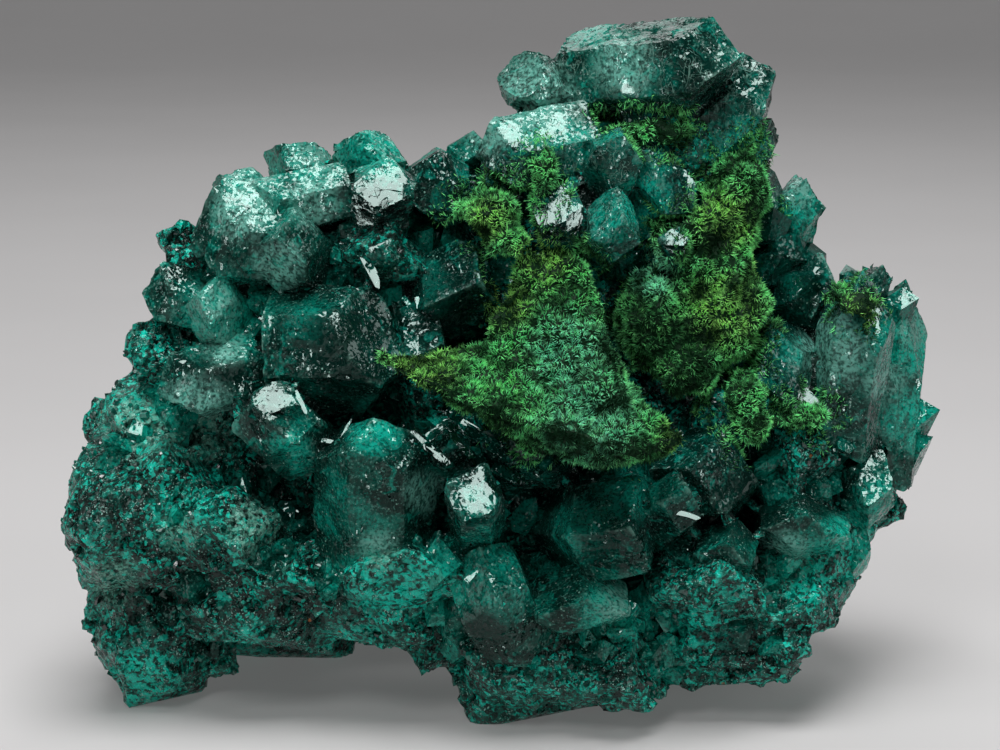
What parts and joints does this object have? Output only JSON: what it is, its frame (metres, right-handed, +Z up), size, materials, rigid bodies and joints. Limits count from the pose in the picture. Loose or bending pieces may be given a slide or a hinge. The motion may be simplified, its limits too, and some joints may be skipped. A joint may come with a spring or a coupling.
{
  "type": "dioptase crystal specimen",
  "caption": "Hand specimen of dark green dioptase crystals grown on a lump of granular copper ore, with patches of green mineral needles between them.",
  "frame": {"origin": "middle of the bottom of the specimen's box, on the surface that it stands on", "axes": "+Z up, -Y out of the side that the picture shows, +X to the right of it"},
  "size_m": [0.0926, 0.0634, 0.0744],
  "materials": {
    "ore": "granular, matt",
    "crystal": "glassy",
    "moss": "velvety needles"
  },
  "bodies": {
    "root": {"crown_crystals": "crystal", "crown_crystals_2": "crystal", "upper_left_crystals": "crystal", "upper_left_crystals_2": "crystal", "upper_left_crystals_3": "crystal", "middle_crystals": "crystal", "middle_crystals_2": "crystal", "middle_crystals_3": "crystal", "right_crystals": "crystal", "right_crystals_2": "crystal", "back_crystals": "crystal", "back_crystals_2": "crystal", "back_crystals_3": "crystal", "back_crystals_4": "crystal", "back_crystals_5": "crystal", "back_crystals_6": "crystal", "ore": "ore", "ledge_moss": "moss", "field_moss": "moss", "hanging_moss": "moss", "left_moss": "moss", "sprig_moss": "moss", "low_moss": "moss", "shelf_moss": "moss", "right_moss": "moss"}
  },
  "joints": []
}
